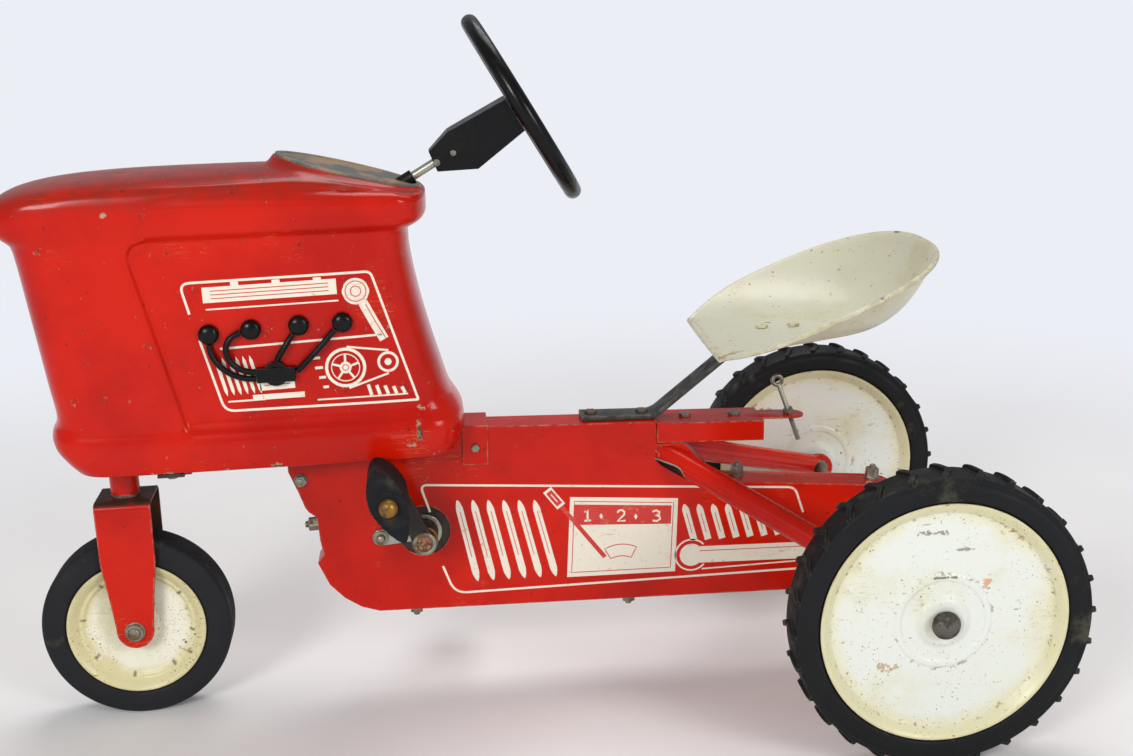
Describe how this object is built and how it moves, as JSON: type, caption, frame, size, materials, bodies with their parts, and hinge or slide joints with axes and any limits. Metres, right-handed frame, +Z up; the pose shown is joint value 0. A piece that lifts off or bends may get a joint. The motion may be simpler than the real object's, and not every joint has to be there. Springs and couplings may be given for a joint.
{
  "type": "pedal tractor",
  "caption": "Chain-driven pedal tractor for a child, with a pressed bonnet, disc wheels, a steered front fork, a pan seat on a flat bar and a sloping steering wheel.",
  "frame": {"origin": "on the floor, in the middle of the tractor's box", "axes": "+X toward the rear, +Y toward the tractor's right side, +Z up"},
  "size_m": [0.9358, 0.4976, 0.6439],
  "materials": {
    "red_paint": "glossy red enamel, worn to grey metal on the edges",
    "cream_paint": "yellowed off-white enamel with rust specks",
    "tyre_rubber": "dull black moulded rubber",
    "pedal_rubber": "black rubber, greyed with wear",
    "black_plastic": "black moulding with a soft gloss",
    "grey_steel": "dull zinc-plated steel, lightly rusted",
    "dark_steel": "dark oiled steel, browned with rust",
    "brass": "tarnished brass"
  },
  "bodies": {
    "chassis": {"backbone": "red_paint", "case_left": "red_paint", "case_right": "red_paint", "case_screws": "grey_steel", "saddle": "red_paint", "saddle_bolts": "grey_steel", "axle_struts": "red_paint", "strut_bolts": "grey_steel", "bonnet": "red_paint", "rear_strap": "red_paint", "clip_strap": "dark_steel", "bonnet_bolts": "grey_steel", "dash_plate": "dark_steel", "plug_caps": "black_plastic", "plug_leads": "pedal_rubber", "distributor": "black_plastic", "rod_bracket": "dark_steel", "rod_bushes": "pedal_rubber", "head_bushes": "grey_steel", "crank_brackets": "dark_steel", "crank_bushes": "brass", "adjuster_straps": "grey_steel", "adjuster_bolts": "grey_steel", "chain_outer_links": "grey_steel", "chain_inner_links": "dark_steel", "axle_bushes": "grey_steel", "seat_pan": "cream_paint", "seat_bar": "dark_steel", "seat_bolts": "grey_steel"},
    "steering_wheel": {"steering_ring": "black_plastic", "hub_box": "black_plastic", "hub_rivets": "grey_steel", "steering_rod": "grey_steel"},
    "front_fork": {"fork": "red_paint", "steering_lever": "dark_steel", "stem_nut": "grey_steel", "front_axle_bolt": "grey_steel"},
    "front_wheel": {"front_discs": "cream_paint", "front_tyre": "tyre_rubber", "front_hub": "grey_steel"},
    "drive_axle": {"rear_axle": "grey_steel", "rear_sprocket": "dark_steel", "drive_pin": "grey_steel", "hub_caps": "dark_steel", "left_discs": "cream_paint", "left_tyre": "tyre_rubber", "left_hub": "grey_steel"},
    "free_wheel": {"right_discs": "cream_paint", "right_tyre": "tyre_rubber", "right_hub": "grey_steel"},
    "crankset": {"crank": "grey_steel", "chainwheel": "dark_steel", "pedal_caps": "brass"},
    "pedal_left": {"left_pedal": "pedal_rubber"},
    "pedal_right": {"right_pedal": "pedal_rubber"},
    "pin": {"hitch_pin": "grey_steel"}
  },
  "joints": [
    {"name": "steer", "type": "hinge", "parent": "chassis", "child": "steering_wheel", "pos_m": [0.00873, 0, 0.56], "axis": [0.8704, 0, 0.4924], "range_deg": [-50, 50]},
    {"name": "fork_turn", "type": "hinge", "parent": "chassis", "child": "front_fork", "pos_m": [-0.37898, 0, 0.3], "axis": [0, 0, 1], "range_deg": [-31, 31]},
    {"name": "front_roll", "type": "hinge", "parent": "front_fork", "child": "front_wheel", "pos_m": [-0.37898, 0, 0.0889], "axis": [0, 1, 0], "continuous": true},
    {"name": "drive_roll", "type": "hinge", "parent": "chassis", "child": "drive_axle", "pos_m": [0.33453, 0, 0.13335], "axis": [0, 1, 0], "continuous": true},
    {"name": "free_roll", "type": "hinge", "parent": "chassis", "child": "free_wheel", "pos_m": [0.33453, 0.22, 0.13335], "axis": [0, 1, 0], "continuous": true},
    {"name": "crank_turn", "type": "hinge", "parent": "chassis", "child": "crankset", "pos_m": [-0.10186, 0, 0.1682], "axis": [0, 1, 0], "continuous": true, "deforming": ["chain_outer_links", "chain_inner_links"]},
    {"name": "left_pedal_turn", "type": "hinge", "parent": "crankset", "child": "pedal_left", "pos_m": [-0.13066, -0.1025, 0.232], "axis": [0, 1, 0], "continuous": true},
    {"name": "right_pedal_turn", "type": "hinge", "parent": "crankset", "child": "pedal_right", "pos_m": [-0.07305, 0.1025, 0.1044], "axis": [0, 1, 0], "continuous": true},
    {"name": "pin_lift", "type": "slide", "parent": "chassis", "child": "pin", "axis": [-0.3256, 0, 0.9455], "range_m": [0, 0.03]}
  ],
  "couplings": [
    {"joint": "fork_turn", "follows": "steer", "ratio": 0.61},
    {"joint": "crank_turn", "follows": "drive_roll", "ratio": 0.57143}
  ]
}
